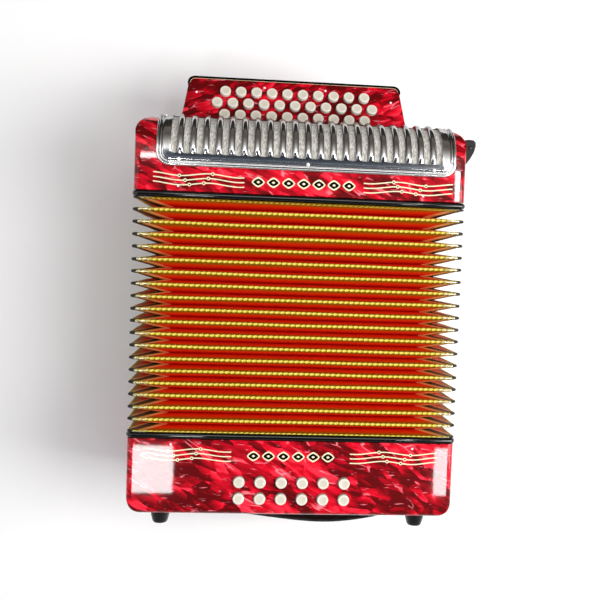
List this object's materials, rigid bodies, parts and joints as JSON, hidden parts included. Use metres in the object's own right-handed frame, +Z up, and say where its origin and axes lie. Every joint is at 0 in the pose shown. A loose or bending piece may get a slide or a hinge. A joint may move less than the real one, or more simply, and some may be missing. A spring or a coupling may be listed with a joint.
{
  "type": "button accordion",
  "caption": "Three-row diatonic button accordion with pleated bellows, pressed metal grille, tilted fingerboard, bass buttons and hand strap, lying on its back with the bellows drawn out.",
  "frame": {"origin": "under the middle of the instrument's bounding box, on the plane that its back rests on", "axes": "+X along the long side of the casings, +Y along the bellows from the bass end to the treble end, +Z up from the back to the grille side"},
  "size_m": [0.3146, 0.4528, 0.1855],
  "materials": {
    "pearloid": "deep red pearl celluloid, polished",
    "grille_chrome": "bright chrome plate",
    "black_bead": "gloss black celluloid",
    "key_cream": "polished cream",
    "bellows_card": "orange-red paper and cloth over card, yellow edge tape",
    "reed_wood": "plain spruce and maple",
    "axle_steel": "drawn steel rod",
    "strap_leather": "black grained leather",
    "foot_rubber": "black rubber"
  },
  "bodies": {
    "bass_end": {"bass_casing": "pearloid", "bass_bellows_frame": "black_bead", "bass_action_board": "reed_wood", "hand_strap": "strap_leather", "foot_front_left": "foot_rubber", "foot_front_right": "foot_rubber", "foot_back_left": "foot_rubber", "foot_back_right": "foot_rubber", "bellows": "bellows_card"},
    "treble_end": {"treble_bellows_frame": "black_bead", "treble_casing": "pearloid", "fingerboard": "pearloid", "grille": "grille_chrome", "treble_action_board": "reed_wood", "treble_key_axle": "axle_steel", "treble_reed_block": "reed_wood"},
    "air_button": {"air_button": "grille_chrome"},
    "treble_key_1_01": {"treble_key_1_01": "key_cream"},
    "treble_key_1_02": {"treble_key_1_02": "key_cream"},
    "treble_key_1_03": {"treble_key_1_03": "key_cream"},
    "treble_key_1_04": {"treble_key_1_04": "key_cream"},
    "treble_key_1_05": {"treble_key_1_05": "key_cream"},
    "treble_key_1_06": {"treble_key_1_06": "key_cream"},
    "treble_key_1_07": {"treble_key_1_07": "key_cream"},
    "treble_key_1_08": {"treble_key_1_08": "key_cream"},
    "treble_key_1_09": {"treble_key_1_09": "key_cream"},
    "treble_key_1_10": {"treble_key_1_10": "key_cream"},
    "treble_key_2_01": {"treble_key_2_01": "key_cream"},
    "treble_key_2_02": {"treble_key_2_02": "key_cream"},
    "treble_key_2_03": {"treble_key_2_03": "key_cream"},
    "treble_key_2_04": {"treble_key_2_04": "key_cream"},
    "treble_key_2_05": {"treble_key_2_05": "key_cream"},
    "treble_key_2_06": {"treble_key_2_06": "key_cream"},
    "treble_key_2_07": {"treble_key_2_07": "key_cream"},
    "treble_key_2_08": {"treble_key_2_08": "key_cream"},
    "treble_key_2_09": {"treble_key_2_09": "key_cream"},
    "treble_key_2_10": {"treble_key_2_10": "key_cream"},
    "treble_key_2_11": {"treble_key_2_11": "key_cream"},
    "treble_key_3_01": {"treble_key_3_01": "key_cream"},
    "treble_key_3_02": {"treble_key_3_02": "key_cream"},
    "treble_key_3_03": {"treble_key_3_03": "key_cream"},
    "treble_key_3_04": {"treble_key_3_04": "key_cream"},
    "treble_key_3_05": {"treble_key_3_05": "key_cream"},
    "treble_key_3_06": {"treble_key_3_06": "key_cream"},
    "treble_key_3_07": {"treble_key_3_07": "key_cream"},
    "treble_key_3_08": {"treble_key_3_08": "key_cream"},
    "treble_key_3_09": {"treble_key_3_09": "key_cream"},
    "treble_key_3_10": {"treble_key_3_10": "key_cream"},
    "bass_key_1_1": {"bass_key_1_1": "key_cream"},
    "bass_key_1_2": {"bass_key_1_2": "key_cream"},
    "bass_key_1_3": {"bass_key_1_3": "key_cream"},
    "bass_key_1_4": {"bass_key_1_4": "key_cream"},
    "bass_key_1_5": {"bass_key_1_5": "key_cream"},
    "bass_key_1_6": {"bass_key_1_6": "key_cream"},
    "bass_key_2_1": {"bass_key_2_1": "key_cream"},
    "bass_key_2_2": {"bass_key_2_2": "key_cream"},
    "bass_key_2_3": {"bass_key_2_3": "key_cream"},
    "bass_key_2_4": {"bass_key_2_4": "key_cream"},
    "bass_key_2_5": {"bass_key_2_5": "key_cream"},
    "bass_key_2_6": {"bass_key_2_6": "key_cream"}
  },
  "joints": [
    {"name": "bellows_slide", "type": "slide", "parent": "bass_end", "child": "treble_end", "axis": [0, 1, 0], "range_m": [-0.14, 0.18], "deforming": ["bellows"]},
    {"name": "air_button_press", "type": "slide", "parent": "bass_end", "child": "air_button", "axis": [0, 1, 0], "range_m": [0, 0.005], "stiffness_N_per_m": 300, "springref_m": -0.006},
    {"name": "treble_key_1_01_press", "type": "hinge", "parent": "treble_end", "child": "treble_key_1_01", "pos_m": [-0.0759, 0.16273, 0.13187], "axis": [-1, 0, 0], "range_deg": [0, 3.41], "stiffness_Nm_per_rad": 0.1152, "springref_deg": -20.05},
    {"name": "treble_key_1_02_press", "type": "hinge", "parent": "treble_end", "child": "treble_key_1_02", "pos_m": [-0.0603, 0.16273, 0.13187], "axis": [-1, 0, 0], "range_deg": [0, 3.41], "stiffness_Nm_per_rad": 0.1152, "springref_deg": -20.05},
    {"name": "treble_key_1_03_press", "type": "hinge", "parent": "treble_end", "child": "treble_key_1_03", "pos_m": [-0.0447, 0.16273, 0.13187], "axis": [-1, 0, 0], "range_deg": [0, 3.41], "stiffness_Nm_per_rad": 0.1152, "springref_deg": -20.05},
    {"name": "treble_key_1_04_press", "type": "hinge", "parent": "treble_end", "child": "treble_key_1_04", "pos_m": [-0.0291, 0.16273, 0.13187], "axis": [-1, 0, 0], "range_deg": [0, 3.41], "stiffness_Nm_per_rad": 0.1152, "springref_deg": -20.05},
    {"name": "treble_key_1_05_press", "type": "hinge", "parent": "treble_end", "child": "treble_key_1_05", "pos_m": [-0.0135, 0.16273, 0.13187], "axis": [-1, 0, 0], "range_deg": [0, 3.41], "stiffness_Nm_per_rad": 0.1152, "springref_deg": -20.05},
    {"name": "treble_key_1_06_press", "type": "hinge", "parent": "treble_end", "child": "treble_key_1_06", "pos_m": [0.0021, 0.16273, 0.13187], "axis": [-1, 0, 0], "range_deg": [0, 3.41], "stiffness_Nm_per_rad": 0.1152, "springref_deg": -20.05},
    {"name": "treble_key_1_07_press", "type": "hinge", "parent": "treble_end", "child": "treble_key_1_07", "pos_m": [0.0177, 0.16273, 0.13187], "axis": [-1, 0, 0], "range_deg": [0, 3.41], "stiffness_Nm_per_rad": 0.1152, "springref_deg": -20.05},
    {"name": "treble_key_1_08_press", "type": "hinge", "parent": "treble_end", "child": "treble_key_1_08", "pos_m": [0.0333, 0.16273, 0.13187], "axis": [-1, 0, 0], "range_deg": [0, 3.41], "stiffness_Nm_per_rad": 0.1152, "springref_deg": -20.05},
    {"name": "treble_key_1_09_press", "type": "hinge", "parent": "treble_end", "child": "treble_key_1_09", "pos_m": [0.0489, 0.16273, 0.13187], "axis": [-1, 0, 0], "range_deg": [0, 3.41], "stiffness_Nm_per_rad": 0.1152, "springref_deg": -20.05},
    {"name": "treble_key_1_10_press", "type": "hinge", "parent": "treble_end", "child": "treble_key_1_10", "pos_m": [0.0645, 0.16273, 0.13187], "axis": [-1, 0, 0], "range_deg": [0, 3.41], "stiffness_Nm_per_rad": 0.1152, "springref_deg": -20.05},
    {"name": "treble_key_2_01_press", "type": "hinge", "parent": "treble_end", "child": "treble_key_2_01", "pos_m": [-0.0837, 0.16273, 0.13187], "axis": [-1, 0, 0], "range_deg": [0, 4.65], "stiffness_Nm_per_rad": 0.0846, "springref_deg": -20.05},
    {"name": "treble_key_2_02_press", "type": "hinge", "parent": "treble_end", "child": "treble_key_2_02", "pos_m": [-0.0681, 0.16273, 0.13187], "axis": [-1, 0, 0], "range_deg": [0, 4.65], "stiffness_Nm_per_rad": 0.0846, "springref_deg": -20.05},
    {"name": "treble_key_2_03_press", "type": "hinge", "parent": "treble_end", "child": "treble_key_2_03", "pos_m": [-0.0525, 0.16273, 0.13187], "axis": [-1, 0, 0], "range_deg": [0, 4.65], "stiffness_Nm_per_rad": 0.0846, "springref_deg": -20.05},
    {"name": "treble_key_2_04_press", "type": "hinge", "parent": "treble_end", "child": "treble_key_2_04", "pos_m": [-0.0369, 0.16273, 0.13187], "axis": [-1, 0, 0], "range_deg": [0, 4.65], "stiffness_Nm_per_rad": 0.0846, "springref_deg": -20.05},
    {"name": "treble_key_2_05_press", "type": "hinge", "parent": "treble_end", "child": "treble_key_2_05", "pos_m": [-0.0213, 0.16273, 0.13187], "axis": [-1, 0, 0], "range_deg": [0, 4.65], "stiffness_Nm_per_rad": 0.0846, "springref_deg": -20.05},
    {"name": "treble_key_2_06_press", "type": "hinge", "parent": "treble_end", "child": "treble_key_2_06", "pos_m": [-0.0057, 0.16273, 0.13187], "axis": [-1, 0, 0], "range_deg": [0, 4.65], "stiffness_Nm_per_rad": 0.0846, "springref_deg": -20.05},
    {"name": "treble_key_2_07_press", "type": "hinge", "parent": "treble_end", "child": "treble_key_2_07", "pos_m": [0.0099, 0.16273, 0.13187], "axis": [-1, 0, 0], "range_deg": [0, 4.65], "stiffness_Nm_per_rad": 0.0846, "springref_deg": -20.05},
    {"name": "treble_key_2_08_press", "type": "hinge", "parent": "treble_end", "child": "treble_key_2_08", "pos_m": [0.0255, 0.16273, 0.13187], "axis": [-1, 0, 0], "range_deg": [0, 4.65], "stiffness_Nm_per_rad": 0.0846, "springref_deg": -20.05},
    {"name": "treble_key_2_09_press", "type": "hinge", "parent": "treble_end", "child": "treble_key_2_09", "pos_m": [0.0411, 0.16273, 0.13187], "axis": [-1, 0, 0], "range_deg": [0, 4.65], "stiffness_Nm_per_rad": 0.0846, "springref_deg": -20.05},
    {"name": "treble_key_2_10_press", "type": "hinge", "parent": "treble_end", "child": "treble_key_2_10", "pos_m": [0.0567, 0.16273, 0.13187], "axis": [-1, 0, 0], "range_deg": [0, 4.65], "stiffness_Nm_per_rad": 0.0846, "springref_deg": -20.05},
    {"name": "treble_key_2_11_press", "type": "hinge", "parent": "treble_end", "child": "treble_key_2_11", "pos_m": [0.0723, 0.16273, 0.13187], "axis": [-1, 0, 0], "range_deg": [0, 4.65], "stiffness_Nm_per_rad": 0.0846, "springref_deg": -20.05},
    {"name": "treble_key_3_01_press", "type": "hinge", "parent": "treble_end", "child": "treble_key_3_01", "pos_m": [-0.0759, 0.16273, 0.13187], "axis": [-1, 0, 0], "range_deg": [0, 6.31], "stiffness_Nm_per_rad": 0.0539, "springref_deg": -20.05},
    {"name": "treble_key_3_02_press", "type": "hinge", "parent": "treble_end", "child": "treble_key_3_02", "pos_m": [-0.0603, 0.16273, 0.13187], "axis": [-1, 0, 0], "range_deg": [0, 6.31], "stiffness_Nm_per_rad": 0.0539, "springref_deg": -20.05},
    {"name": "treble_key_3_03_press", "type": "hinge", "parent": "treble_end", "child": "treble_key_3_03", "pos_m": [-0.0447, 0.16273, 0.13187], "axis": [-1, 0, 0], "range_deg": [0, 6.31], "stiffness_Nm_per_rad": 0.0539, "springref_deg": -20.05},
    {"name": "treble_key_3_04_press", "type": "hinge", "parent": "treble_end", "child": "treble_key_3_04", "pos_m": [-0.0291, 0.16273, 0.13187], "axis": [-1, 0, 0], "range_deg": [0, 6.31], "stiffness_Nm_per_rad": 0.0539, "springref_deg": -20.05},
    {"name": "treble_key_3_05_press", "type": "hinge", "parent": "treble_end", "child": "treble_key_3_05", "pos_m": [-0.0135, 0.16273, 0.13187], "axis": [-1, 0, 0], "range_deg": [0, 6.31], "stiffness_Nm_per_rad": 0.0539, "springref_deg": -20.05},
    {"name": "treble_key_3_06_press", "type": "hinge", "parent": "treble_end", "child": "treble_key_3_06", "pos_m": [0.0021, 0.16273, 0.13187], "axis": [-1, 0, 0], "range_deg": [0, 6.31], "stiffness_Nm_per_rad": 0.0539, "springref_deg": -20.05},
    {"name": "treble_key_3_07_press", "type": "hinge", "parent": "treble_end", "child": "treble_key_3_07", "pos_m": [0.0177, 0.16273, 0.13187], "axis": [-1, 0, 0], "range_deg": [0, 6.31], "stiffness_Nm_per_rad": 0.0539, "springref_deg": -20.05},
    {"name": "treble_key_3_08_press", "type": "hinge", "parent": "treble_end", "child": "treble_key_3_08", "pos_m": [0.0333, 0.16273, 0.13187], "axis": [-1, 0, 0], "range_deg": [0, 6.31], "stiffness_Nm_per_rad": 0.0539, "springref_deg": -20.05},
    {"name": "treble_key_3_09_press", "type": "hinge", "parent": "treble_end", "child": "treble_key_3_09", "pos_m": [0.0489, 0.16273, 0.13187], "axis": [-1, 0, 0], "range_deg": [0, 6.31], "stiffness_Nm_per_rad": 0.0539, "springref_deg": -20.05},
    {"name": "treble_key_3_10_press", "type": "hinge", "parent": "treble_end", "child": "treble_key_3_10", "pos_m": [0.0645, 0.16273, 0.13187], "axis": [-1, 0, 0], "range_deg": [0, 6.31], "stiffness_Nm_per_rad": 0.0539, "springref_deg": -20.05},
    {"name": "bass_key_1_1_press", "type": "slide", "parent": "bass_end", "child": "bass_key_1_1", "axis": [0, 0, -1], "range_m": [0, 0.004], "stiffness_N_per_m": 150, "springref_m": -0.008},
    {"name": "bass_key_1_2_press", "type": "slide", "parent": "bass_end", "child": "bass_key_1_2", "axis": [0, 0, -1], "range_m": [0, 0.004], "stiffness_N_per_m": 150, "springref_m": -0.008},
    {"name": "bass_key_1_3_press", "type": "slide", "parent": "bass_end", "child": "bass_key_1_3", "axis": [0, 0, -1], "range_m": [0, 0.004], "stiffness_N_per_m": 150, "springref_m": -0.008},
    {"name": "bass_key_1_4_press", "type": "slide", "parent": "bass_end", "child": "bass_key_1_4", "axis": [0, 0, -1], "range_m": [0, 0.004], "stiffness_N_per_m": 150, "springref_m": -0.008},
    {"name": "bass_key_1_5_press", "type": "slide", "parent": "bass_end", "child": "bass_key_1_5", "axis": [0, 0, -1], "range_m": [0, 0.004], "stiffness_N_per_m": 150, "springref_m": -0.008},
    {"name": "bass_key_1_6_press", "type": "slide", "parent": "bass_end", "child": "bass_key_1_6", "axis": [0, 0, -1], "range_m": [0, 0.004], "stiffness_N_per_m": 150, "springref_m": -0.008},
    {"name": "bass_key_2_1_press", "type": "slide", "parent": "bass_end", "child": "bass_key_2_1", "axis": [0, 0, -1], "range_m": [0, 0.004], "stiffness_N_per_m": 150, "springref_m": -0.008},
    {"name": "bass_key_2_2_press", "type": "slide", "parent": "bass_end", "child": "bass_key_2_2", "axis": [0, 0, -1], "range_m": [0, 0.004], "stiffness_N_per_m": 150, "springref_m": -0.008},
    {"name": "bass_key_2_3_press", "type": "slide", "parent": "bass_end", "child": "bass_key_2_3", "axis": [0, 0, -1], "range_m": [0, 0.004], "stiffness_N_per_m": 150, "springref_m": -0.008},
    {"name": "bass_key_2_4_press", "type": "slide", "parent": "bass_end", "child": "bass_key_2_4", "axis": [0, 0, -1], "range_m": [0, 0.004], "stiffness_N_per_m": 150, "springref_m": -0.008},
    {"name": "bass_key_2_5_press", "type": "slide", "parent": "bass_end", "child": "bass_key_2_5", "axis": [0, 0, -1], "range_m": [0, 0.004], "stiffness_N_per_m": 150, "springref_m": -0.008},
    {"name": "bass_key_2_6_press", "type": "slide", "parent": "bass_end", "child": "bass_key_2_6", "axis": [0, 0, -1], "range_m": [0, 0.004], "stiffness_N_per_m": 150, "springref_m": -0.008}
  ]
}
